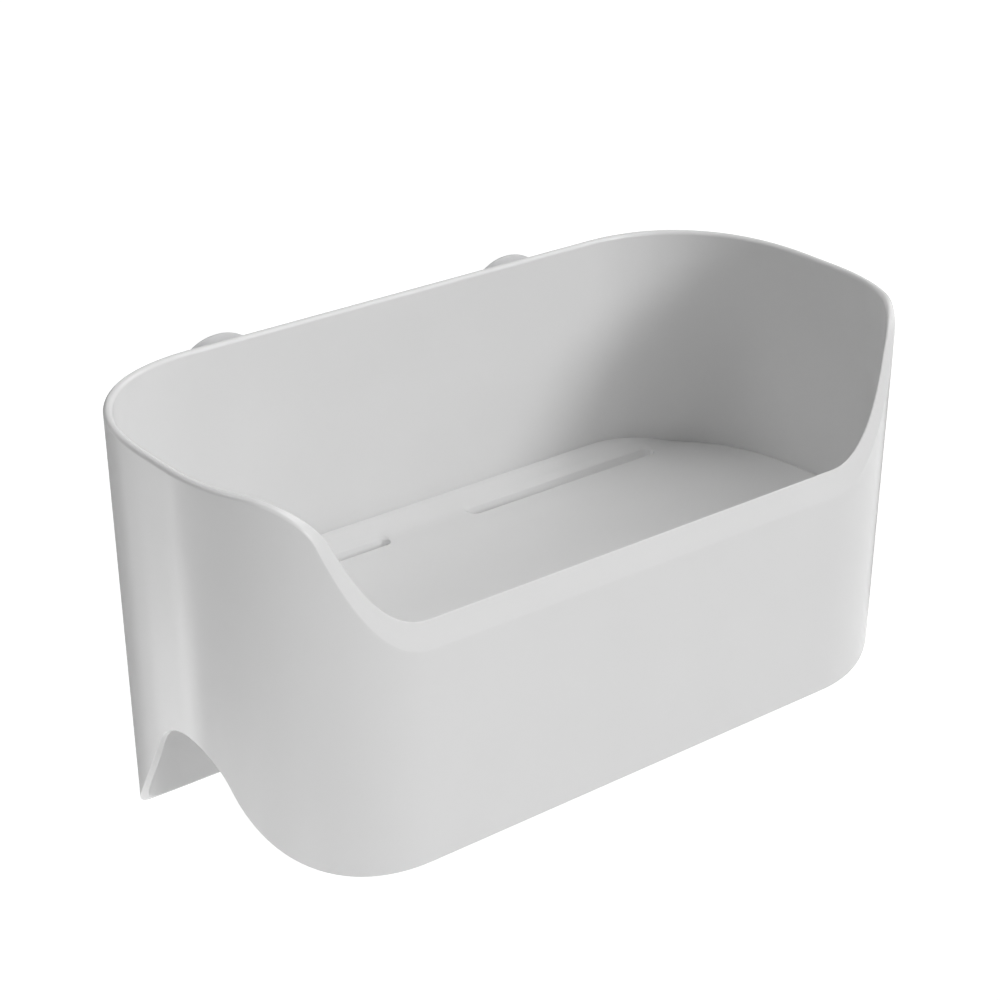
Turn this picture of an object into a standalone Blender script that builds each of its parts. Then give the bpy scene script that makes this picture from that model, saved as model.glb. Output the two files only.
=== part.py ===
"""Grab bar basket: a one-piece moulded bath basket that straddles a wall grab bar.

The origin is on the bar's centre line, midway along the basket. +X runs along the bar,
+Y points at the wall and +Z is up. The end walls are arched over the bar, the back wall
hangs down behind it, and two suction cups on the back bear on the wall tiles.
"""
import math

import bmesh
import bpy
from mathutils import Matrix

MM = 0.001

# The bar, and the arch in each end wall that sits on it
BAR_RADIUS = 15.9 * MM
BAR_CLEARANCE = 0.1 * MM
ARCH_FRONT_SWEEP = math.radians(59.9)
ARCH_BACK_SWEEP = math.radians(62.2)

# The bottom edge beyond the arch: level at the front skirt, and sloping down to the back flange
SKIRT_RADIUS = 43.3 * MM
FLANGE_RADIUS = 107.7 * MM
FLANGE_SLOPE = math.radians(36.5)

# The basket's plan at the rim, and how its walls lean in below it
BASKET_WIDTH = 203.0 * MM
BASKET_DEPTH = 97.4 * MM
BAR_TO_BACK = 55.5 * MM
CORNER_WIDTH = 40.4 * MM
CORNER_DEPTH = 44.3 * MM
CORNER_FULLNESS = 2.25
CORNER_LIMIT_SHARE = 0.48
DRAFT = math.radians(0.96)

# The rim, level at the back and the ends, then swept down to the front lip
RIM_HEIGHT = 83.0 * MM
FRONT_LIP_HEIGHT = 43.6 * MM
RIM_FALL_RADIUS = 12.8 * MM
RIM_FALL_SLOPE = math.radians(76.2)

# The moulding's walls and their rounded edges
WALL = 2.1 * MM
RIM_ROUND = 1.0 * MM
WEDGE_REACH = 1.6 * MM
BOTTOM_ROUND = 0.35 * MM
EDGE_SEGMENTS = 3

# How finely the plan is drawn: points crowd toward the arches
CORNER_SEGMENTS = 22
CORNER_CROWDING = 1.3
END_SEGMENTS = 5
HEIGHT_PASSES = 8

# The floor, which falls to a valley near the back wall, and its drain slots
VALLEY_HEIGHT = 21.5 * MM
VALLEY_TO_BACK = 12.1 * MM
VALLEY_RADIUS = 9.6 * MM
VALLEY_SEGMENTS = 6
FLOOR_FRONT_SLOPE = math.radians(2.6)
FLOOR_BACK_SLOPE = math.radians(20.0)
SLOT_WIDTH = 4.0 * MM
SLOT_LENGTH = 64.0 * MM
SLOT_SPACING = 90.2 * MM
ROUND_SEGMENTS = 10

# The rib under the middle of the floor, arched over the bar like the end walls
RIB_THICKNESS = 1.6 * MM
RIB_DROP = 2.0 * MM
ARCH_SEGMENTS = 40

# The suction cups: the lip and its hollow, the bell, and the head that holds each in its socket
CUP_SPACING = 91.2 * MM
CUP_BELOW_RIM = 18.6 * MM
CUP_PROTRUSION = 13.8 * MM
LIP_RADIUS = 14.1 * MM
LIP_LAND = 1.3 * MM
LIP_THICKNESS = 0.7 * MM
HOLLOW_DEPTH = 4.0 * MM
SHOULDER_RADIUS = 6.2 * MM
SHOULDER_LENGTH = 2.9 * MM
NECK_RADIUS = 3.2 * MM
HEAD_RADIUS = 5.2 * MM
HEAD_THICKNESS = 2.0 * MM
HEAD_ROUND = 0.6 * MM
BELL_SEGMENTS = 6
HEAD_SEGMENTS = 2
CUP_STEPS = 32

# The keyhole sockets on the back wall, open below, that the cups' heads slide up into
FIT_CLEARANCE = 0.3 * MM
SOCKET_PAD = 0.4 * MM
SOCKET_PLATE = 1.8 * MM
SOCKET_WALL = 1.6 * MM
SOCKET_LEG = 9.0 * MM
SOCKET_PINCH = 0.7 * MM

# How far a cutter runs past what it cuts, and the distance at which vertices join
OVERRUN = 5.0 * MM
WELD = 0.001 * MM

# The two plastics
BASKET_GREY = (0.62, 0.62, 0.625, 1.0)
BASKET_ROUGHNESS = 0.42
CUP_GREY = (0.50, 0.50, 0.51, 1.0)
CUP_ROUGHNESS = 0.35

# Derived sizes
FRONT_PLANE = BAR_TO_BACK - BASKET_DEPTH
ARCH_RADIUS = BAR_RADIUS + BAR_CLEARANCE
PLAN_ACROSS = min(CORNER_WIDTH, CORNER_LIMIT_SHARE * BASKET_WIDTH)
PLAN_ALONG = min(CORNER_DEPTH, CORNER_LIMIT_SHARE * BASKET_DEPTH)
CUP_HEIGHT = RIM_HEIGHT - CUP_BELOW_RIM
SEAT_PLANE = BAR_TO_BACK + SOCKET_PAD
HEAD_POCKET = HEAD_THICKNESS + 2 * FIT_CLEARANCE
NECK_LENGTH = SOCKET_PLATE + 2 * FIT_CLEARANCE


def clear_scene():
    """Removes whatever the file opened with."""
    for old in list(bpy.data.objects):
        bpy.data.objects.remove(old, do_unlink=True)


def new_collection(name):
    made = bpy.data.collections.new(name)
    bpy.context.scene.collection.children.link(made)
    return made


def plastic(name, colour, roughness):
    """A plastic dyed right through."""
    made = bpy.data.materials.new(name)
    made.use_nodes = True
    shader = made.node_tree.nodes["Principled BSDF"]
    shader.inputs["Base Color"].default_value = colour
    shader.inputs["Roughness"].default_value = roughness
    shader.inputs["Metallic"].default_value = 0.0
    return made


def place(name, mesh, collection):
    made = bpy.data.objects.new(name, mesh)
    collection.objects.link(made)
    return made


def make_tool(tool):
    """Marks an object as one that only shapes another."""
    tool.hide_render = True
    tool.display_type = "WIRE"
    return tool


def combine(target, tool, operation):
    step = target.modifiers.new(tool.name, "BOOLEAN")
    step.operation = operation
    step.solver = "EXACT"
    step.object = tool


def side_view(x):
    """Places an outline drawn as (y, z), seen along X, at this x."""
    return Matrix(((0, 0, 1, x), (1, 0, 0, 0), (0, 1, 0, 0), (0, 0, 0, 1)))


def back_view(x, y, z):
    """Places an outline drawn as (x, z), seen along Y, about this point."""
    return Matrix(((1, 0, 0, x), (0, 0, -1, y), (0, 1, 0, z), (0, 0, 0, 1)))


def plan_view(x, y, z):
    """Places an outline drawn as (x, y), seen from above, about this point."""
    return Matrix.Translation((x, y, z))


def extruded(name, outline, thickness, placing, collection):
    """A flat outline given a thickness, half to each side of its plane."""
    curve = bpy.data.curves.new(name, "CURVE")
    curve.dimensions = "2D"
    curve.fill_mode = "BOTH"
    curve.extrude = thickness / 2
    spline = curve.splines.new("POLY")
    spline.points.add(len(outline) - 1)
    for point, (across, up) in zip(spline.points, outline):
        point.co = (across, up, 0, 1)
    spline.use_cyclic_u = True
    drawn = place(name + "_outline", curve, collection)
    drawn.matrix_world = placing
    bpy.context.view_layer.update()
    evaluated = drawn.evaluated_get(bpy.context.evaluated_depsgraph_get())
    mesh = bpy.data.meshes.new_from_object(evaluated)
    welded = bmesh.new()
    welded.from_mesh(mesh)
    bmesh.ops.remove_doubles(welded, verts=welded.verts, dist=WELD)
    bmesh.ops.recalc_face_normals(welded, faces=welded.faces)
    welded.to_mesh(mesh)
    welded.free()
    made = place(name, mesh, collection)
    made.matrix_world = drawn.matrix_world
    bpy.data.objects.remove(drawn, do_unlink=True)
    return make_tool(made)


def loft(name, rings, closed, collection):
    """A skin through rings of points, either closed round onto the first ring or capped."""
    skin = bmesh.new()
    loops = [[skin.verts.new(point) for point in ring] for ring in rings]
    pairs = list(zip(loops, loops[1:]))
    if closed:
        pairs.append((loops[-1], loops[0]))
    else:
        skin.faces.new(loops[0])
        skin.faces.new(loops[-1])
    for lower, upper in pairs:
        for index in range(len(lower)):
            ahead = (index + 1) % len(lower)
            side = skin.faces.new((lower[index], lower[ahead], upper[ahead], upper[index]))
            side.smooth = True
    bmesh.ops.recalc_face_normals(skin, faces=skin.faces)
    mesh = bpy.data.meshes.new(name)
    skin.to_mesh(mesh)
    skin.free()
    return place(name, mesh, collection)


def arc(centre, radius, start, end, segments):
    """Points along an arc, both ends included."""
    points = []
    for step in range(segments + 1):
        angle = start + (end - start) * step / segments
        points.append((centre[0] + radius * math.cos(angle), centre[1] + radius * math.sin(angle)))
    return points


def lean(z):
    """How far the draft has brought a wall in at this height."""
    return (RIM_HEIGHT - z) * math.tan(DRAFT)


def plan_stations():
    """The plan's points, anticlockwise from the right: a centre, and each corner radius's share."""
    centre_x = BASKET_WIDTH / 2 - PLAN_ACROSS
    centre_back = BAR_TO_BACK - PLAN_ALONG
    centre_front = FRONT_PLANE + PLAN_ALONG
    power = 2 / CORNER_FULLNESS
    quarter = []
    for step in range(CORNER_SEGMENTS + 1):
        angle = math.pi / 2 * (step / CORNER_SEGMENTS) ** CORNER_CROWDING
        quarter.append((math.cos(angle) ** power, abs(math.sin(angle)) ** power))
    end_wall = [centre_back + (centre_front - centre_back) * step / END_SEGMENTS
                for step in range(1, END_SEGMENTS)]
    stations = [(centre_x, centre_back, across, along) for across, along in quarter]
    stations += [(-centre_x, centre_back, -across, along) for across, along in reversed(quarter)]
    stations += [(-centre_x, y, -1, 0) for y in end_wall]
    stations += [(-centre_x, centre_front, -across, -along) for across, along in quarter]
    stations += [(centre_x, centre_front, across, -along) for across, along in reversed(quarter)]
    stations += [(centre_x, y, 1, 0) for y in reversed(end_wall)]
    return stations


def plan_point(station, inset):
    """Where a station lies when the plan is drawn this far inside the rim's outer face."""
    centre_x, centre_y, across, along = station
    return (centre_x + (PLAN_ACROSS - inset) * across, centre_y + (PLAN_ALONG - inset) * along)


def level_ring(z, inset):
    """The plan at one height, this far inside the outer face."""
    return [plan_point(station, lean(z) + inset) + (z,) for station in plan_stations()]


def trimmed_ring(profile, inset):
    """The plan where a profile seen from the side cuts the wall, this far inside its outer face."""
    ring = []
    for station in plan_stations():
        z = 0
        for _ in range(HEIGHT_PASSES):
            z = profile(plan_point(station, lean(z) + inset)[1])
        ring.append(plan_point(station, lean(z) + inset) + (z,))
    return ring


def rim_edge(y):
    """The rim seen from the side: level, then rounded over into a steep fall to the front lip."""
    slope = math.tan(RIM_FALL_SLOPE)
    lip = FRONT_PLANE + lean(FRONT_LIP_HEIGHT)
    knee = lip + (RIM_HEIGHT - FRONT_LIP_HEIGHT) / slope
    centre = knee + RIM_FALL_RADIUS * math.tan(RIM_FALL_SLOPE / 2)
    if y >= centre:
        return RIM_HEIGHT
    if y > centre - RIM_FALL_RADIUS * math.sin(RIM_FALL_SLOPE):
        return RIM_HEIGHT - RIM_FALL_RADIUS + math.sqrt(RIM_FALL_RADIUS ** 2 - (centre - y) ** 2)
    return FRONT_LIP_HEIGHT + (y - lip) * slope


def bottom_edge(y):
    """The bottom seen from the side: an arch on the bar that sweeps out to skirt and flange."""
    if y < 0:
        sweep, flare, final = ARCH_FRONT_SWEEP, SKIRT_RADIUS, 0
    else:
        sweep, flare, final = ARCH_BACK_SWEEP, FLANGE_RADIUS, FLANGE_SLOPE
    reach = abs(y)
    if reach <= ARCH_RADIUS * math.sin(sweep):
        return math.sqrt(ARCH_RADIUS ** 2 - reach ** 2)
    centre_y = (ARCH_RADIUS + flare) * math.sin(sweep)
    centre_z = (ARCH_RADIUS + flare) * math.cos(sweep)
    flare_end = centre_y - flare * math.sin(final)
    if reach <= flare_end:
        return centre_z - math.sqrt(flare ** 2 - (centre_y - reach) ** 2)
    return centre_z - flare * math.cos(final) - (reach - flare_end) * math.tan(final)


def floor_line(drop):
    """The floor seen from the side, from front to back: two slopes into a rounded valley."""
    front = FRONT_PLANE
    back = BAR_TO_BACK
    valley = BAR_TO_BACK - VALLEY_TO_BACK
    centre_z = VALLEY_HEIGHT + VALLEY_RADIUS
    radius = VALLEY_RADIUS + drop
    curve = arc((valley, centre_z), radius, -math.pi / 2 - FLOOR_FRONT_SLOPE,
                -math.pi / 2 + FLOOR_BACK_SLOPE, VALLEY_SEGMENTS)
    front_z = curve[0][1] + (curve[0][0] - front) * math.tan(FLOOR_FRONT_SLOPE)
    back_z = curve[-1][1] + (back - curve[-1][0]) * math.tan(FLOOR_BACK_SLOPE)
    return [(front, front_z)] + curve + [(back, back_z)]


def height_on(line, y):
    """The height of a line of points at this y."""
    for (y0, z0), (y1, z1) in zip(line, line[1:]):
        if y <= y1:
            return z0 + (z1 - z0) * (y - y0) / (y1 - y0)
    return line[-1][1]


def slot_outline(length, width):
    """A slot with round ends."""
    half = length / 2 - width / 2
    right = arc((half, 0), width / 2, -math.pi / 2, math.pi / 2, ROUND_SEGMENTS)
    left = arc((-half, 0), width / 2, math.pi / 2, 3 * math.pi / 2, ROUND_SEGMENTS)
    return right + left


def hook_outline(radius, throat, leg):
    """A round top with two straight legs down from it, set this far to each side."""
    dip = math.acos(throat / radius)
    top = arc((0, 0), radius, -dip, math.pi + dip, 2 * ROUND_SEGMENTS)
    return top + [(-throat, -leg), (throat, -leg)]


def rim_reach(turn):
    """How far the rim's rounding reaches from an edge: further where the edge is a thin wedge."""
    wedge_share = max(0, -math.cos(turn)) ** 3
    return RIM_ROUND + (WEDGE_REACH - RIM_ROUND) * wedge_share


def round_wall_edges(walls):
    """Rounds the rim's two edges almost into one, and just breaks the bottom's two."""
    shaped = bmesh.new()
    shaped.from_mesh(walls.data)
    weight = shaped.edges.layers.float.new("bevel_weight_edge")
    ring_size = len(plan_stations())
    for edge in shaped.edges:
        first, second = [vertex.index // ring_size for vertex in edge.verts]
        if first == second:
            at_rim = first in (1, 2)
            reach = rim_reach(edge.calc_face_angle()) if at_rim else BOTTOM_ROUND
            edge[weight] = reach / WEDGE_REACH
    shaped.to_mesh(walls.data)
    shaped.free()
    blend = walls.modifiers.new("rounded_edges", "BEVEL")
    blend.limit_method = "WEIGHT"
    blend.offset_type = "OFFSET"
    blend.width = WEDGE_REACH
    blend.segments = EDGE_SEGMENTS
    blend.use_clamp_overlap = False


def make_walls(collection):
    """The basket's four drafted walls in one loft, from the bottom edge up, over and down inside."""
    rings = [trimmed_ring(bottom_edge, 0), trimmed_ring(rim_edge, 0),
             trimmed_ring(rim_edge, WALL), trimmed_ring(bottom_edge, WALL)]
    walls = loft("basket", rings, True, collection)
    round_wall_edges(walls)
    return walls


def add_floor(basket, tools):
    """The floor, trimmed to the middle of the walls so that it joins them all round."""
    top = floor_line(0)
    underside = floor_line(WALL)
    outline = top + list(reversed(underside))
    floor = extruded("floor", outline, BASKET_WIDTH, side_view(0), tools)
    heights = [z for _, z in outline]
    trim = loft("floor_trim", [level_ring(min(heights) - OVERRUN, WALL / 2),
                               level_ring(max(heights) + OVERRUN, WALL / 2)], False, tools)
    combine(floor, make_tool(trim), "INTERSECT")
    combine(basket, floor, "UNION")
    for side in (-1, 1):
        centre = (side * SLOT_SPACING / 2, BAR_TO_BACK - VALLEY_TO_BACK, VALLEY_HEIGHT)
        slot = extruded("drain_slot", slot_outline(SLOT_LENGTH, SLOT_WIDTH),
                        2 * (WALL + OVERRUN), plan_view(*centre), tools)
        combine(basket, slot, "DIFFERENCE")


def arch_line(level):
    """The bottom edge seen from the side, from front to back, where it is above a level."""
    reach = 2 * ARCH_RADIUS
    steps = [reach * (2 * step / ARCH_SEGMENTS - 1) for step in range(ARCH_SEGMENTS + 1)]
    samples = [(y, bottom_edge(y)) for y in steps]
    line = []
    for (y0, z0), (y1, z1) in zip(samples, samples[1:]):
        if (z0 > level) != (z1 > level):
            line.append((y0 + (y1 - y0) * (level - z0) / (z1 - z0), level))
        if z1 > level:
            line.append((y1, z1))
    return line


def add_rib(basket, tools):
    """The rib that shares the load on the bar with the end walls."""
    level = -RIB_DROP
    middle = floor_line(WALL / 2)
    ends = []
    for z in (level, VALLEY_HEIGHT):
        inset = WALL / 2 + lean(z)
        ends.append((FRONT_PLANE + inset, BAR_TO_BACK - inset))
    (front_low, back_low), (front_high, back_high) = ends
    top = [(front_high, height_on(middle, front_high))]
    top += [point for point in middle if front_high < point[0] < back_high]
    top += [(back_high, height_on(middle, back_high))]
    bottom = [(front_low, level)] + arch_line(level) + [(back_low, level)]
    outline = bottom + list(reversed(top))
    rib = extruded("saddle_rib", outline, RIB_THICKNESS, side_view(0), tools)
    combine(basket, rib, "UNION")


def add_socket(basket, x, tools):
    """A keyhole socket: the cup's head slides up behind the plate, and its neck into the slot."""
    head = HEAD_RADIUS + FIT_CLEARANCE
    neck = NECK_RADIUS + FIT_CLEARANCE
    body = head + SOCKET_WALL
    root = BAR_TO_BACK - lean(CUP_HEIGHT - SOCKET_LEG) - WALL / 2
    face = SEAT_PLANE + HEAD_POCKET + SOCKET_PLATE
    shapes = (("socket", hook_outline(body, body, SOCKET_LEG), root, face, "UNION"),
              ("socket_pocket", hook_outline(head, head, SOCKET_LEG + OVERRUN),
               SEAT_PLANE, SEAT_PLANE + HEAD_POCKET, "DIFFERENCE"),
              ("socket_keyhole", hook_outline(neck, neck - SOCKET_PINCH, SOCKET_LEG + OVERRUN),
               SEAT_PLANE + HEAD_POCKET / 2, face + OVERRUN, "DIFFERENCE"))
    for name, outline, start, end, operation in shapes:
        placing = back_view(x, (start + end) / 2, CUP_HEIGHT)
        combine(basket, extruded(name, outline, end - start, placing, tools), operation)


def make_basket(collection, tools, material):
    basket = make_walls(collection)
    add_floor(basket, tools)
    add_rib(basket, tools)
    for side in (-1, 1):
        add_socket(basket, side * CUP_SPACING / 2, tools)
    shading = basket.modifiers.new("even_shading", "WEIGHTED_NORMAL")
    shading.keep_sharp = True
    basket.data.materials.append(material)
    return basket


def dome(inner, outer, segments):
    """A round cap about the axis that passes through two points given as (radius, height)."""
    (r0, z0), (r1, z1) = inner, outer
    centre = (r1 ** 2 - r0 ** 2 + z1 ** 2 - z0 ** 2) / (2 * (z1 - z0))
    radius = math.hypot(r0, z0 - centre)
    start = math.atan2(z0 - centre, r0)
    end = math.atan2(z1 - centre, r1)
    return arc((0, centre), radius, start, end, segments)


def cup_profile():
    """Half the cup's section from the hollow, round the lip and down the outside to the head."""
    lip = CUP_PROTRUSION - SOCKET_PAD
    head_front = FIT_CLEARANCE + HEAD_THICKNESS
    shoulder = head_front + NECK_LENGTH
    hollow = dome((0, lip - HOLLOW_DEPTH), (LIP_RADIUS - LIP_LAND, lip), BELL_SEGMENTS)
    bell = dome((SHOULDER_RADIUS, shoulder + SHOULDER_LENGTH),
                (LIP_RADIUS, lip - LIP_THICKNESS), BELL_SEGMENTS)
    rim = HEAD_RADIUS - HEAD_ROUND
    head = arc((rim, head_front - HEAD_ROUND), HEAD_ROUND, math.pi / 2, 0, HEAD_SEGMENTS)
    head += arc((rim, FIT_CLEARANCE + HEAD_ROUND), HEAD_ROUND, 0, -math.pi / 2, HEAD_SEGMENTS)
    profile = hollow + [(LIP_RADIUS, lip)] + list(reversed(bell))
    profile += [(SHOULDER_RADIUS, shoulder), (NECK_RADIUS, shoulder), (NECK_RADIUS, head_front)]
    return profile + head + [(0, FIT_CLEARANCE)]


def make_cup(name, x, collection, material):
    """A soft suction cup, turned about the axis that points at the wall."""
    profile = cup_profile()
    mesh = bpy.data.meshes.new(name)
    mesh.from_pydata([(radius, 0, height) for radius, height in profile],
                     [(index, index + 1) for index in range(len(profile) - 1)], [])
    cup = place(name, mesh, collection)
    cup.location = (x, SEAT_PLANE, CUP_HEIGHT)
    cup.rotation_euler = (-math.pi / 2, 0, 0)
    turn = cup.modifiers.new("turned", "SCREW")
    turn.axis = "Z"
    turn.angle = 2 * math.pi
    turn.steps = CUP_STEPS
    turn.render_steps = CUP_STEPS
    turn.use_merge_vertices = True
    turn.merge_threshold = WELD
    mesh.materials.append(material)
    return cup


def build():
    clear_scene()
    parts = new_collection("grab_bar_basket")
    tools = new_collection("shaping_tools")
    basket_plastic = plastic("basket_plastic", BASKET_GREY, BASKET_ROUGHNESS)
    cup_rubber = plastic("cup_rubber", CUP_GREY, CUP_ROUGHNESS)
    make_basket(parts, tools, basket_plastic)
    make_cup("suction_cup_left", -CUP_SPACING / 2, parts, cup_rubber)
    make_cup("suction_cup_right", CUP_SPACING / 2, parts, cup_rubber)


build()
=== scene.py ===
"""A grab bar basket of pale grey moulded plastic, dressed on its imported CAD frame."""
import math

import bmesh
import bpy
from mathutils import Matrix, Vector


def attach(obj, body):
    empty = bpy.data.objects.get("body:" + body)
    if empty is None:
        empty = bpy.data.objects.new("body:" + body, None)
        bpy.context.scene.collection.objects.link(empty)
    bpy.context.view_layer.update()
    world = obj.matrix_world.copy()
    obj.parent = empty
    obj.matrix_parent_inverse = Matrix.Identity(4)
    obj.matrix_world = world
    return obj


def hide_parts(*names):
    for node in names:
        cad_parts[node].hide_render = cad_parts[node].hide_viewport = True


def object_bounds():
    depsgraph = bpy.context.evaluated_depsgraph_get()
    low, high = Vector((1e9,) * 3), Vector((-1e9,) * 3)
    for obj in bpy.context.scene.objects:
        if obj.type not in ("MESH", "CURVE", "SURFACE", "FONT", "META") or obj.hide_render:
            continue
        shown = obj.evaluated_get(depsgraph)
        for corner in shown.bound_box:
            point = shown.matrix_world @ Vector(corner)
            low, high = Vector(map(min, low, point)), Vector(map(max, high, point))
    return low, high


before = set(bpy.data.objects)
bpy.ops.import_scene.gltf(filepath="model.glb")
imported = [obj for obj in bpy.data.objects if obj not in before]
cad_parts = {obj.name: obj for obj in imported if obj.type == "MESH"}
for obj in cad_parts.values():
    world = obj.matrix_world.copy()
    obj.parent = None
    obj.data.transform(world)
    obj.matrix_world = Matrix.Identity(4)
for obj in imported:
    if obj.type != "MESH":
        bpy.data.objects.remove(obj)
cad_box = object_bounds()

# The basket: one injection moulding of polypropylene, made in a mould that opens up and down.
# Its walls lean in by a degree below the rim, whose two edges are rounded almost into one, and
# the floor runs down to a crease near the back wall, where two slots let the water out.
MM = 0.001
WIDTH, DEPTH, BACK = 203.0 * MM, 97.4 * MM, 55.5 * MM
FRONT = BACK - DEPTH
CORNER_ACROSS, CORNER_ALONG, CORNER_FULLNESS = 40.4 * MM, 44.3 * MM, 2.25
DRAFT = math.radians(0.96)
WALL = 2.1 * MM
RIM, LIP = 83.0 * MM, 43.6 * MM
FALL_RADIUS, FALL_SLOPE = 12.8 * MM, math.radians(76.2)
ARCH, SKIRT_FLARE, FLANGE_FLARE = 16.0 * MM, 43.3 * MM, 107.7 * MM
FRONT_SWEEP, BACK_SWEEP, FLANGE_SLOPE = math.radians(59.9), math.radians(62.2), math.radians(36.5)
CREASE_Y, CREASE_Z, CREASE_RADIUS = BACK - 12.1 * MM, 21.5 * MM, 9.6 * MM
FLOOR_FALL, STRIP_FALL = math.radians(2.6), math.radians(20.0)
RIM_ROUND, WEDGE_REACH, LIP_ROUND, BOTTOM_ROUND = 1.0 * MM, 1.6 * MM, 0.3 * MM, 0.45 * MM
FLOOR_FILLET, CORNER_DIP, DIP_REACH = 0.25 * MM, 0.16 * MM, 1.3 * MM
# How finely it is drawn: points round the plan, then steps over the floor's border, which is
# made in one with the walls, and over the dip, the rim, the bottom edge and the underside. The
# rim's slope is taken over a short span.
FRONT_STEPS, BACK_STEPS, END_STEPS, FINE_STEPS = 88, 44, 6, 600
BORDER, BORDER_STEPS, UNDERSIDE_STEPS, DIP_STEPS = 17.0 * MM, 25, 14, 6
RIM_STEPS, BOTTOM_STEPS, FILLET_STEPS, SETTLING_ROUNDS = 10, 3, 4, 10
SLOPE_SPAN = 0.05 * MM


def lean(z):
    """How far the draft has brought a wall in at this height."""
    return (RIM - z) * math.tan(DRAFT)


def wall_point(station, z, inset):
    """A point on the wall, or this far inside its outer face, at one height."""
    x, y, across, along = station
    inset = inset + lean(z)
    return Vector((x + (CORNER_ACROSS - inset) * across, y + (CORNER_ALONG - inset) * along, z))


def rim_height(y):
    """Level at the back and the ends, then rounded over into a steep fall to the front lip."""
    slope = math.tan(FALL_SLOPE)
    lip = FRONT + lean(LIP)
    centre = lip + (RIM - LIP) / slope + FALL_RADIUS * math.tan(FALL_SLOPE / 2)
    if y >= centre:
        return RIM
    if y > centre - FALL_RADIUS * math.sin(FALL_SLOPE):
        return RIM - FALL_RADIUS + math.sqrt(FALL_RADIUS ** 2 - (centre - y) ** 2)
    return LIP + (y - lip) * slope


def bottom_height(y):
    """An arch that sits on the bar, swept out to the front skirt and down the back flange."""
    if y < 0:
        sweep, flare, final = FRONT_SWEEP, SKIRT_FLARE, 0
    else:
        sweep, flare, final = BACK_SWEEP, FLANGE_FLARE, FLANGE_SLOPE
    reach = abs(y)
    if reach <= ARCH * math.sin(sweep):
        return math.sqrt(ARCH ** 2 - reach ** 2)
    out, up = (ARCH + flare) * math.sin(sweep), (ARCH + flare) * math.cos(sweep)
    straight = out - flare * math.sin(final)
    if reach <= straight:
        return up - math.sqrt(flare ** 2 - (out - reach) ** 2)
    return up - flare * math.cos(final) - (reach - straight) * math.tan(final)


def floor_height(y, drop=0.0):
    """The floor's top, or its underside where drop is the wall: two slopes and a soft crease."""
    radius, centre = CREASE_RADIUS + drop, CREASE_Z + CREASE_RADIUS
    from_crease = y - CREASE_Y
    fall = FLOOR_FALL if from_crease < 0 else STRIP_FALL
    reach = abs(from_crease)
    if reach < radius * math.sin(fall):
        return centre - math.sqrt(radius ** 2 - reach ** 2)
    return centre - radius / math.cos(fall) + reach * math.tan(fall)


def on_profile(station, height, inset):
    """Where a profile seen from the side cuts the wall at one station.

    The height there depends on how far the draft has moved the wall, which depends on the
    height, so it is worked out over and over until it settles.
    """
    z = height(0.0)
    for _ in range(SETTLING_ROUNDS):
        z = height(wall_point(station, z, inset).y)
    return wall_point(station, z, inset)


def corner_stations(x, y, across, along, count):
    """Points round one corner of the plan, evenly spaced along the rim where it falls too."""
    fine = []
    for step in range(FINE_STEPS + 1):
        angle = math.pi / 2 * step / FINE_STEPS
        fine.append((x, y, across * math.cos(angle) ** (2 / CORNER_FULLNESS),
                     along * math.sin(angle) ** (2 / CORNER_FULLNESS)))
    edge = [on_profile(station, rim_height, 0) for station in fine]
    reach = [0.0]
    for before, after in zip(edge, edge[1:]):
        reach.append(reach[-1] + (after - before).length)
    wanted = [reach[-1] * step / count for step in range(count + 1)]
    return [fine[min(range(len(fine)), key=lambda index: abs(reach[index] - length))]
            for length in wanted]


def plan_stations():
    """Points round the plan: a corner's centre, and its two radii's shares at that point."""
    x = WIDTH / 2 - CORNER_ACROSS
    back, front = BACK - CORNER_ALONG, FRONT + CORNER_ALONG
    end = [back + (front - back) * step / END_STEPS for step in range(1, END_STEPS)]
    around = corner_stations(x, back, 1, 1, BACK_STEPS)
    around += reversed(corner_stations(-x, back, -1, 1, BACK_STEPS))
    around += [(-x, y, -1, 0) for y in end]
    around += corner_stations(-x, front, -1, -1, FRONT_STEPS)
    around += reversed(corner_stations(x, front, 1, -1, FRONT_STEPS))
    return around + [(x, y, 1, 0) for y in reversed(end)]


def blend(before, corner, after, steps):
    """A round from one face to the next, as a conic that is a true arc for equal reaches."""
    a, b = (before - corner).normalized(), (after - corner).normalized()
    weight = math.sqrt(max(0.0, (1 - a.dot(b)) / 2))
    points = []
    for step in range(steps + 1):
        t = step / steps
        shares = ((1 - t) ** 2, 2 * t * (1 - t) * weight, t * t)
        points.append((before * shares[0] + corner * shares[1] + after * shares[2]) / sum(shares))
    return points


def wall_normal(station):
    """The outward direction in plan at one station."""
    x, y, across, along = station
    power = CORNER_FULLNESS - 1
    out = Vector((math.copysign(abs(across) ** power / CORNER_ACROSS, across),
                  math.copysign(abs(along) ** power / CORNER_ALONG, along), 0))
    return out.normalized()


def edge_reach(station, edge, side):
    """How far a rim edge's round reaches: further on the inner wedge, less on the lip outside."""
    rise = rim_height(edge.y + SLOPE_SPAN) - rim_height(edge.y - SLOPE_SPAN)
    top = Vector((0, -rise / (2 * SLOPE_SPAN), 1)).normalized()
    facing = top.dot(wall_normal(station) * side)
    if facing < 0:
        return RIM_ROUND + (WEDGE_REACH - RIM_ROUND) * (-facing) ** 3
    return RIM_ROUND + (LIP_ROUND - RIM_ROUND) * facing ** 2


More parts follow.
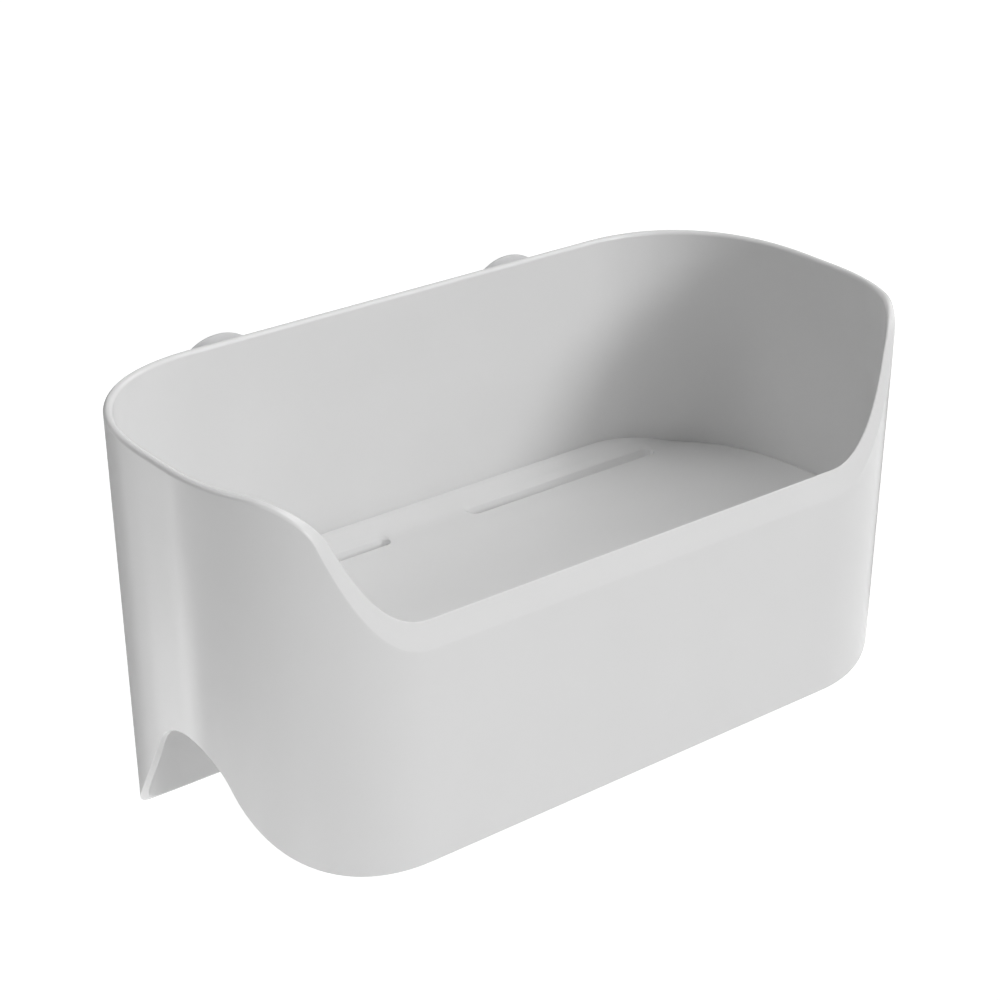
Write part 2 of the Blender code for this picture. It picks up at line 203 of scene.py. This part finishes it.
def wall_section(station):
    """The whole section at one station, from the floor's border, over the rim and back under."""
    section = []
    for step in range(BORDER_STEPS + 1):
        inset = WALL + DIP_REACH + (BORDER - DIP_REACH) * (1 - step / BORDER_STEPS)
        y = wall_point(station, floor_height(wall_point(station, CREASE_Z, inset).y), inset).y
        section.append(wall_point(station, floor_height(y), inset))
    # A shallow dip where the floor meets the wall: first along the floor, then up the wall.
    for step in range(1 - DIP_STEPS, DIP_STEPS + 1):
        dip = CORNER_DIP * (1 - abs(step) / DIP_STEPS) ** 2
        inset = WALL + DIP_REACH * max(0, -step) / DIP_STEPS - dip
        y = wall_point(station, CREASE_Z, inset).y
        z = floor_height(y) + DIP_REACH * max(0, step) / DIP_STEPS - dip
        section.append(wall_point(station, z, inset))
    inner, outer = (on_profile(station, rim_height, inset) for inset in (WALL, 0))
    across = (outer - inner).normalized()
    for edge, side, inset in ((inner, -1, WALL), (outer, 1, 0)):
        reach = edge_reach(station, edge, side)
        below = wall_point(station, edge.z - reach, inset)
        along = edge - across * side * reach
        if side < 0:
            section += [section[-1].lerp(below, 1 / 2)] + blend(below, edge, along, RIM_STEPS)
        else:
            section += blend(along, edge, below, RIM_STEPS)
    outer, inner = (on_profile(station, bottom_height, inset) for inset in (0, WALL))
    section += [section[-1].lerp(outer, share) for share in (1 / 3, 2 / 3)]
    across = (inner - outer).normalized()
    section += blend(wall_point(station, outer.z + BOTTOM_ROUND, 0), outer,
                     outer + across * BOTTOM_ROUND, BOTTOM_STEPS)
    section += blend(inner - across * BOTTOM_ROUND, inner,
                     wall_point(station, inner.z + BOTTOM_ROUND, WALL), BOTTOM_STEPS)
    for step in range(FILLET_STEPS + 1):
        turn = math.pi / 2 * step / FILLET_STEPS
        inset = WALL + FLOOR_FILLET * (1 - math.cos(turn))
        y = wall_point(station, CREASE_Z, inset).y
        z = floor_height(y, WALL) - FLOOR_FILLET * (1 - math.sin(turn))
        section.append(wall_point(station, z, inset))
    for step in range(1, UNDERSIDE_STEPS + 1):
        inset = WALL + FLOOR_FILLET + (BORDER - FLOOR_FILLET) * step / UNDERSIDE_STEPS
        y = wall_point(station, CREASE_Z, inset).y
        section.append(wall_point(station, floor_height(y, WALL), inset))
    return section


def placed(name, data):
    """An object that holds this mesh, lamp or camera, put into the scene."""
    piece = bpy.data.objects.new(name, data)
    bpy.context.scene.collection.objects.link(piece)
    return piece


def built(name, made):
    """An object from the faces that have been made, which are then let go."""
    mesh = bpy.data.meshes.new(name)
    made.to_mesh(mesh)
    made.free()
    return placed(name, mesh)


def skinned(name, sections):
    """A solid through sections that stand side by side round a closed plan."""
    made = bmesh.new()
    columns = [[made.verts.new(point) for point in section] for section in sections]
    for index, column in enumerate(columns):
        beside = columns[(index + 1) % len(columns)]
        for step in range(len(column) - 1):
            made.faces.new((column[step], beside[step], beside[step + 1], column[step + 1]))
    made.faces.new([column[0] for column in columns])
    made.faces.new([column[-1] for column in columns])
    bmesh.ops.recalc_face_normals(made, faces=made.faces)
    return built(name, made)


basket = skinned("moulded_basket", [wall_section(station) for station in plan_stations()])

# The drain slots, cut along the crease. The floor runs softly down into the far side of each,
# whose wall leans back with the draft, so that it catches the light from the front.
SLOT_WIDTH, SLOT_LENGTH, SLOT_SPACING = 4.0 * MM, 64.0 * MM, 90.2 * MM
SLOT_ROUND, FAR_LEAN, FAR_RUN, FAR_DROP = 0.3 * MM, 1.0 * MM, 2.2 * MM, 0.45 * MM
NEAR_TURN, FAR_EASE, SLOT_EDGE_STEPS, SLOT_END_STEPS = math.radians(76), 1.6, 7, 16
CUTTER_BELOW, CUTTER_ABOVE, CUTTER_FLARE = 8 * MM, 6 * MM, 0.03 * MM


def slot_sections(middle):
    """A cutter that widens as it nears the floor's face, further on the side by the back wall."""
    sections = []
    for end in (1, -1):
        for step in range(SLOT_END_STEPS + 1):
            turn = math.pi * step / SLOT_END_STEPS - math.pi / 2
            out = Vector((math.cos(turn) * end, math.sin(turn) * end, 0))
            edge = Vector((middle + end * (SLOT_LENGTH - SLOT_WIDTH) / 2, CREASE_Y, 0))
            edge += out * SLOT_WIDTH / 2
            far = max(0.0, out.y)
            section = [(-FAR_LEAN * far, CUTTER_BELOW), (-FAR_LEAN * far, WALL)]
            for part in range(SLOT_EDGE_STEPS + 1):
                bend = NEAR_TURN * part / SLOT_EDGE_STEPS
                near = (SLOT_ROUND * (1 - math.cos(bend)), SLOT_ROUND * (1 - math.sin(bend)))
                beyond = (FAR_RUN * part / SLOT_EDGE_STEPS,
                          FAR_DROP * (1 - part / SLOT_EDGE_STEPS) ** FAR_EASE)
                section.append([a + (b - a) * far for a, b in zip(near, beyond)])
            section.append((section[-1][0] + CUTTER_FLARE, -CUTTER_ABOVE))
            points = [edge + out * outward for outward, _ in section]
            for point, (_, depth) in zip(points, section):
                point.z = floor_height(point.y) - depth
            sections.append(points)
    return sections


def combine(target, tool, operation):
    """One exact Boolean, kept in the mesh, after which the tool goes."""
    step = target.modifiers.new(tool.name, "BOOLEAN")
    step.operation, step.solver, step.object = operation, "EXACT", tool
    bpy.context.view_layer.update()
    shaped = target.evaluated_get(bpy.context.evaluated_depsgraph_get())
    mesh = bpy.data.meshes.new_from_object(shaped)
    target.modifiers.clear()
    target.data = mesh
    bpy.data.objects.remove(tool, do_unlink=True)


for side in (-1, 1):
    combine(basket, skinned("slot_cutter", slot_sections(side * SLOT_SPACING / 2)), "DIFFERENCE")

# The rib under the floor's middle, arched over the bar like the end walls, and the two keyhole
# sockets on the back wall. They are part of the same moulding and stay out of the photo's view.
# Each socket has a round pocket for a cup's head, behind a slot that is pinched at the neck.
RIB, RIB_LEVEL, RIB_CORNER = 1.6 * MM, -2.0 * MM, 2 * MM
PROFILE_REACH, PROFILE_STEP = 60 * MM, 0.4 * MM
CUP_SPACING, CUP_HEIGHT, SEAT = 91.2 * MM, RIM - 18.6 * MM, BACK + 0.4 * MM
SOCKET_HEAD, SOCKET_NECK, SOCKET_BODY, SOCKET_LEG = 5.5 * MM, 3.5 * MM, 7.1 * MM, 9.0 * MM
KEYHOLE_DEPTH, POCKET_DEPTH, SOCKET_DEPTH = 1.3 * MM, 2.6 * MM, 4.4 * MM
NECK_PINCH, SOCKET_ROUND, SOCKET_ROUND_STEPS, HOOK_STEPS = 0.7 * MM, 0.4 * MM, 3, 32
CUTTER_PAST = 5 * MM
SHARP_TURN, TOUCHING = 1.0, 0.001 * MM


def slab(name, outline, turned, start, end, round_edges=0.0):
    """A flat outline of (a, b) pairs given a thickness along X, or along Y where it is turned.

    The edges round its end face can be rounded, but for those where the outline runs smoothly.
    """
    made = bmesh.new()
    rings = []
    for depth in (start, end):
        rings.append([made.verts.new((a, depth, b) if turned else (depth, a, b))
                      for a, b in outline])
    for step in range(len(outline)):
        beside = (step + 1) % len(outline)
        made.faces.new((rings[0][step], rings[0][beside], rings[1][beside], rings[1][step]))
    made.faces.new(rings[0])
    made.faces.new(rings[1])
    bmesh.ops.recalc_face_normals(made, faces=made.faces)
    if round_edges:
        rims = [edge for edge in made.edges if edge.calc_face_angle() > SHARP_TURN and
                all(abs(vertex.co[1 if turned else 0] - end) < TOUCHING for vertex in edge.verts)]
        bmesh.ops.bevel(made, geom=rims, offset=round_edges, segments=SOCKET_ROUND_STEPS,
                        profile=0.5, affect="EDGES")
    return built(name, made)


def hooked(x, z, radius, throat, leg):
    """A round top with two straight legs, open below, as (x, z) pairs."""
    dip = math.acos(throat / radius)
    top = [-dip + (math.pi + 2 * dip) * step / HOOK_STEPS for step in range(HOOK_STEPS + 1)]
    outline = [(x + radius * math.cos(angle), z + radius * math.sin(angle)) for angle in top]
    return outline + [(x - throat, z - leg), (x + throat, z - leg)]


depths = [-PROFILE_REACH + PROFILE_STEP * step
          for step in range(round(2 * PROFILE_REACH / PROFILE_STEP) + 1)]
arch = [(y, bottom_height(y)) for y in depths if bottom_height(y) > RIB_LEVEL]
foot = (FRONT + WALL / 2 + lean(RIB_LEVEL), BACK - WALL / 2 - lean(RIB_LEVEL))
under_floor = [foot[0] - lean(RIB_LEVEL) + lean(CREASE_Z)]
under_floor += [y for y in depths if foot[0] + RIB_CORNER < y < foot[1] - RIB_CORNER]
under_floor += [foot[1] + lean(RIB_LEVEL) - lean(CREASE_Z)]
rib = [(foot[0], RIB_LEVEL)] + arch + [(foot[1], RIB_LEVEL)]
rib += [(y, floor_height(y, WALL / 2)) for y in reversed(under_floor)]
combine(basket, slab("saddle_rib", rib, False, -RIB / 2, RIB / 2), "UNION")

for side in (-1, 1):
    x, z, face = side * CUP_SPACING / 2, CUP_HEIGHT, SEAT + SOCKET_DEPTH
    root = BACK - lean(z - SOCKET_LEG) - WALL / 2
    body = hooked(x, z, SOCKET_BODY, SOCKET_BODY, SOCKET_LEG)
    pocket = hooked(x, z, SOCKET_HEAD, SOCKET_HEAD, SOCKET_LEG + CUTTER_PAST)
    keyhole = hooked(x, z, SOCKET_NECK, SOCKET_NECK - NECK_PINCH, SOCKET_LEG + CUTTER_PAST)
    combine(basket, slab("socket", body, True, root, face, SOCKET_ROUND), "UNION")
    combine(basket, slab("pocket", pocket, True, SEAT, SEAT + POCKET_DEPTH), "DIFFERENCE")
    combine(basket, slab("keyhole", keyhole, True, SEAT + KEYHOLE_DEPTH, face + CUTTER_PAST),
            "DIFFERENCE")

SHARP_FOLD = math.radians(38)
basket.data.shade_smooth()
basket.data.set_sharp_from_angle(angle=SHARP_FOLD)
even = basket.modifiers.new("even_shading", "WEIGHTED_NORMAL")
even.keep_sharp = True


def linear(colour):
    """An sRGB hex colour as the linear values that Blender's sockets take."""
    parts = [int(colour[place:place + 2], 16) / 255 for place in (1, 3, 5)]
    return [c / 12.92 if c <= 0.04045 else ((c + 0.055) / 1.055) ** 2.4 for c in parts] + [1.0]


def node_socket(sockets, name):
    """A socket by place or name: some nodes keep others of the same name, out of use."""
    if isinstance(name, int):
        return sockets[name]
    return next(each for each in sockets if each.name == name and each.enabled)


def add(holder, kind, links=(), **settings):
    """Adds one node, with its properties and sockets, and (node, its output, input) links."""
    node = holder.node_tree.nodes.new(kind)
    for name, value in settings.items():
        if hasattr(node, name):
            setattr(node, name, value)
        else:
            node_socket(node.inputs, name.replace("_", " ")).default_value = value
    for source, output, target in links:
        holder.node_tree.links.new(node_socket(source.outputs, output),
                                   node_socket(node.inputs, target))
    return node


def emptied(holder):
    """A new material or world, without the nodes that it comes with."""
    holder.use_nodes = True
    holder.node_tree.nodes.clear()
    return holder


# Polypropylene, coloured through and moulded in a tool with a fine even spark texture. That
# gives a satin pale grey, with a soft sheen that the grain breaks up and no sharp reflection.
# The real grain is about 0.15 mm and is drawn at 0.6 mm, because it would not show otherwise.
# The sheen changes a little over some 8 mm, and the pigment over some 30 mm, as it flowed in.
GRAIN, SHEEN_PATCH, PIGMENT_CLOUD, NOISE_DETAIL = 0.6 * MM, 8.0 * MM, 30.0 * MM, 2.0
GRAIN_STRENGTH, GRAIN_DEPTH = 0.6, 0.015 * MM
BASKET_GREYS, BASKET_ROUGHNESS, POLYPROPYLENE_IOR = ("#e3e3e3", "#e7e7e7"), (0.22, 0.28), 1.49
moulded = emptied(bpy.data.materials.new("satin_moulded_polypropylene"))
where = add(moulded, "ShaderNodeTexCoord")
grain, patches, clouds = (add(moulded, "ShaderNodeTexNoise", [(where, "Object", "Vector")],
                              Scale=1 / size, Detail=NOISE_DETAIL)
                          for size in (GRAIN, SHEEN_PATCH, PIGMENT_CLOUD))
relief = add(moulded, "ShaderNodeBump", [(grain, "Fac", "Height")],
             Strength=GRAIN_STRENGTH, Distance=GRAIN_DEPTH)
sheen = add(moulded, "ShaderNodeMapRange", [(patches, "Fac", "Value")],
            To_Min=BASKET_ROUGHNESS[0], To_Max=BASKET_ROUGHNESS[1])
tone = add(moulded, "ShaderNodeMix", [(clouds, "Fac", "Factor")], data_type="RGBA",
           A=linear(BASKET_GREYS[0]), B=linear(BASKET_GREYS[1]))
satin = add(moulded, "ShaderNodeBsdfPrincipled",
            [(tone, "Result", "Base Color"), (sheen, "Result", "Roughness"),
             (relief, "Normal", "Normal")], IOR=POLYPROPYLENE_IOR)
add(moulded, "ShaderNodeOutputMaterial", [(satin, "BSDF", "Surface")])
basket.data.materials.clear()
basket.data.materials.append(moulded)
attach(basket, "root")
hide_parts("basket")

# The suction cups: soft PVC, each moulded in one with its neck and head. The head is pushed up
# into a keyhole socket on the back wall, and the wide lip is pressed onto the tiles. Heights
# are along the cup's axis, from the socket's seat.
LIP_TOP, LIP_RADIUS, LIP_LAND, LIP_EDGE, HOLLOW = 13.4 * MM, 14.1 * MM, 1.3 * MM, 0.7 * MM, 4.0 * MM
HEAD_BACK, HEAD_FRONT, SHOULDER = 0.3 * MM, 2.3 * MM, 4.7 * MM
HEAD_RADIUS, NECK_RADIUS, SHOULDER_RADIUS, SHOULDER_TOP = 5.2 * MM, 3.2 * MM, 6.2 * MM, 7.6 * MM
# The reach of the round at each corner, in the order in which the section goes round them.
LIP_ROUNDS = (0.3 * MM, 0.25 * MM)
SHANK_ROUNDS = (0.5 * MM, 0.4 * MM, 0.3 * MM, 0.6 * MM, 0.6 * MM)
BOWED_STEPS, CORNER_STEPS, TURN_STEPS = 16, 5, 96


def bowed(start, end, steps):
    """A line that curves like a dome about the cup's axis, from one (radius, height) to another."""
    (r0, z0), (r1, z1) = start, end
    centre = (r1 ** 2 - r0 ** 2 + z1 ** 2 - z0 ** 2) / (2 * (z1 - z0))
    radius = math.hypot(r0, z0 - centre)
    first, last = (math.atan2(z - centre, r) for r, z in (start, end))
    angles = [first + (last - first) * step / steps for step in range(steps + 1)]
    return [(radius * math.cos(angle), centre + radius * math.sin(angle)) for angle in angles]


def eased(outline, reaches):
    """The outline with some of its corners rounded, given as {place in the list: reach}."""
    points = [Vector((r, 0, z)) for r, z in outline]
    result = []
    for index, point in enumerate(points):
        reach = reaches.get(index)
        if reach:
            before, after = points[index - 1] - point, points[index + 1] - point
            result += blend(point + before.normalized() * reach, point,
                            point + after.normalized() * reach, CORNER_STEPS)
        else:
            result.append(point)
    return result


def cup_outline():
    """Half the cup's section: its hollow, round the lip, down the bell, neck and head."""
    hollow = bowed((0, LIP_TOP - HOLLOW), (LIP_RADIUS - LIP_LAND, LIP_TOP), BOWED_STEPS)
    bell = bowed((SHOULDER_RADIUS, SHOULDER_TOP), (LIP_RADIUS, LIP_TOP - LIP_EDGE), BOWED_STEPS)
    outline = hollow + [(LIP_RADIUS, LIP_TOP)] + list(reversed(bell))
    reaches = dict(enumerate(LIP_ROUNDS, len(hollow)))
    reaches.update(enumerate(SHANK_ROUNDS, len(outline)))
    outline += [(SHOULDER_RADIUS, SHOULDER), (NECK_RADIUS, SHOULDER), (NECK_RADIUS, HEAD_FRONT),
                (HEAD_RADIUS, HEAD_FRONT), (HEAD_RADIUS, HEAD_BACK), (0, HEAD_BACK)]
    return eased(outline, reaches)


# Soft PVC from a polished mould: a little glossier than the basket and never quite flat, as it
# shrinks in cooling. The ripples are about 1.5 mm apart, and the sheen varies over some 5 mm.
RIPPLE, CLOUD, RIPPLE_STRENGTH, RIPPLE_DEPTH = 1.5 * MM, 5.0 * MM, 0.5, 0.02 * MM
CUP_GREYS, CUP_ROUGHNESS, PVC_IOR = ("#d2d2d3", "#d9d9da"), (0.28, 0.42), 1.53
soft_pvc = emptied(bpy.data.materials.new("soft_moulded_pvc"))
where = add(soft_pvc, "ShaderNodeTexCoord")
ripple, cloud = (add(soft_pvc, "ShaderNodeTexNoise", [(where, "Object", "Vector")],
                     Scale=1 / size, Detail=NOISE_DETAIL) for size in (RIPPLE, CLOUD))
relief = add(soft_pvc, "ShaderNodeBump", [(ripple, "Fac", "Height")],
             Strength=RIPPLE_STRENGTH, Distance=RIPPLE_DEPTH)
gloss = add(soft_pvc, "ShaderNodeMapRange", [(cloud, "Fac", "Value")],
            To_Min=CUP_ROUGHNESS[0], To_Max=CUP_ROUGHNESS[1])
tone = add(soft_pvc, "ShaderNodeMix", [(cloud, "Fac", "Factor")], data_type="RGBA",
           A=linear(CUP_GREYS[0]), B=linear(CUP_GREYS[1]))
soft = add(soft_pvc, "ShaderNodeBsdfPrincipled",
           [(tone, "Result", "Base Color"), (gloss, "Result", "Roughness"),
            (relief, "Normal", "Normal")], IOR=PVC_IOR)
add(soft_pvc, "ShaderNodeOutputMaterial", [(soft, "BSDF", "Surface")])

SHARP_CUP_FOLD = math.radians(40)
for side, node in ((-1, "suction_cup_left"), (1, "suction_cup_right")):
    outline = cup_outline()
    mesh = bpy.data.meshes.new("soft_" + node)
    mesh.from_pydata(outline, [(step, step + 1) for step in range(len(outline) - 1)], [])
    cup = placed("soft_" + node, mesh)
    cup.location = (side * CUP_SPACING / 2, SEAT, CUP_HEIGHT)
    cup.rotation_euler = (-math.pi / 2, 0, 0)
    turn = cup.modifiers.new("turned", "SCREW")
    turn.steps = turn.render_steps = TURN_STEPS
    turn.use_merge_vertices, turn.merge_threshold = True, TOUCHING
    bpy.context.view_layer.update()
    turned = cup.evaluated_get(bpy.context.evaluated_depsgraph_get())
    cup.data = bpy.data.meshes.new_from_object(turned)
    cup.modifiers.clear()
    cup.data.shade_smooth()
    cup.data.set_sharp_from_angle(angle=SHARP_CUP_FOLD)
    cup.data.materials.clear()
    cup.data.materials.append(soft_pvc)
    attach(cup, "root")
    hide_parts(node)

# The studio: white paper and a white surround, far enough below the basket, which hangs on its
# bar, for its shadow to fall soft and wide. Both show as white to the camera and in the gloss.
low = cad_box[0]
FLOOR_DROP, PAPER_SIZE = 295.0 * MM, 8.0
PAPER_COLOUR, PAPER_LIFT, WHITE, MATT = "#d0d0d0", 0.58, "#ffffff", 0.9
bpy.ops.mesh.primitive_plane_add(size=PAPER_SIZE, location=(0, 0, low[2] - FLOOR_DROP))
ground = bpy.context.object
ground.name = "studio_floor"


def seen(holder):
    """One where a ray comes from the camera, from gloss or through glass, and nought elsewhere."""
    path = add(holder, "ShaderNodeLightPath")
    either = add(holder, "ShaderNodeMath", [(path, "Is Camera Ray", 0), (path, "Is Glossy Ray", 1)],
                 use_clamp=True)
    return add(holder, "ShaderNodeMath", [(either, "Value", 0), (path, "Is Transmission Ray", 1)],
               use_clamp=True)


# The paper's own colour takes the light and the shadow, and the lift brings it to white.
paper = emptied(bpy.data.materials.new("white_paper"))
lift = add(paper, "ShaderNodeMapRange", [(seen(paper), "Value", "Value")], To_Max=PAPER_LIFT)
white = add(paper, "ShaderNodeBsdfPrincipled", [(lift, "Result", "Emission Strength")],
            Base_Color=linear(PAPER_COLOUR), Roughness=MATT, Emission_Color=linear(WHITE))
add(paper, "ShaderNodeOutputMaterial", [(white, "BSDF", "Surface")])
ground.data.materials.append(paper)

world = emptied(bpy.data.worlds.new("studio"))
bpy.context.scene.world = world
surround = add(world, "ShaderNodeBackground", [(seen(world), "Value", "Strength")],
               Color=linear(WHITE))
add(world, "ShaderNodeOutputWorld", [(surround, "Background", "Surface")])

# Two grey cards stand behind the ends, at the sides of the picture, as is done for a white
# thing on white: only its gloss sees them, and they draw a darker line down each side of it.
# Each is given by where its two ends stand, as (x, y) in mm.
CARDS = {
    "left_card": ((-200, 500), (88, 500)),
    "right_card": ((590, 330), (665, 205)),
}
CARD_GREY, CARD_TOP = "#888888", 250 * MM
grey = emptied(bpy.data.materials.new("grey_card"))
matt = add(grey, "ShaderNodeBsdfPrincipled", Base_Color=linear(CARD_GREY), Roughness=MATT)
add(grey, "ShaderNodeOutputMaterial", [(matt, "BSDF", "Surface")])
for name, ends in CARDS.items():
    edges = ((low[2] - FLOOR_DROP, ends), (CARD_TOP, ends[::-1]))
    mesh = bpy.data.meshes.new(name)
    mesh.from_pydata([(x * MM, y * MM, z) for z, pair in edges for x, y in pair], [], [range(4)])
    mesh.materials.append(grey)
    card = placed(name, mesh)
    card.visible_camera = card.visible_diffuse = card.visible_shadow = False
    card.visible_transmission = False

# The lamps: soft boxes, far off and so lit as suns of some width, given as azimuth, elevation
# and width in degrees and a strength. The azimuth turns from +X to +Y, and the front is at 270.
SOFT_BOXES = {
    "high_right": (315, 55, 36, 0.914),
    "key": (290, 20, 16, 0.831),
    "low_front": (270, 8, 36, 0.601),
    "right": (0, 30, 36, 0.552),
    "high_back": (135, 55, 36, 0.483),
    "top": (0, 90, 36, 0.372),
    "low_left": (215, 8, 36, 0.183),
    "back_fill": (90, 10, 36, 0.35),
}
# Five boxes stand low by the left end: three light its lower part and its edges, and two narrow
# ones give it its soft upright streak. Each is given as azimuth and elevation, then distance,
# width and height in mm, and power.
STRIPS = {
    "under_front_left": (200, -45, 360, 300, 200, 0.209),
    "under_back_left": (160, -45, 360, 200, 200, 0.192),
    "front_left_strip": (220, -25, 420, 500, 300, 0.080),
    "back_left_strip": (125, -40, 420, 100, 260, 0.111),
    "streak_strip": (122, -26, 420, 40, 240, 0.067),
}


def towards(azimuth, elevation):
    """The direction from the basket towards a lamp."""
    turn, rise = math.radians(azimuth), math.radians(elevation)
    return Vector((math.cos(turn) * math.cos(rise), math.sin(turn) * math.cos(rise),
                   math.sin(rise)))


def lamp_at(name, kind, place, direction, strength):
    """A lamp that shines back along its direction."""
    lamp = placed(name, bpy.data.lights.new(name, kind))
    lamp.location = place
    lamp.rotation_euler = (-direction).to_track_quat("-Z", "Y").to_euler()
    lamp.data.energy = strength
    return lamp


for name, (azimuth, elevation, width, strength) in SOFT_BOXES.items():
    direction = towards(azimuth, elevation)
    box = lamp_at(name, "SUN", direction, direction, strength)
    box.data.angle = math.radians(width)
left_end = Vector((-WIDTH / 2, 0, 0))
for name, (azimuth, elevation, away, width, height, strength) in STRIPS.items():
    direction = towards(azimuth, elevation)
    strip = lamp_at(name, "AREA", left_end + direction * away * MM, direction, strength)
    strip.data.shape, strip.data.size, strip.data.size_y = "RECTANGLE", width * MM, height * MM
    strip.visible_camera = False

# The camera, at the photo's viewing angle, with the lens and the sensor's width in mm.
CAMERA_PLACE = (-331.68 * MM, -407.47 * MM, 299.43 * MM)
CAMERA_AIM, LENS, SENSOR = (0.5569, 0.7074, -0.4352), 86.37, 36
camera = placed("camera", bpy.data.cameras.new("camera"))
camera.location = CAMERA_PLACE
camera.rotation_euler = Vector(CAMERA_AIM).to_track_quat("-Z", "Y").to_euler()
camera.data.sensor_width = SENSOR
camera.data.lens = LENS
bpy.context.scene.camera = camera
bpy.context.scene.view_settings.view_transform = "Standard"
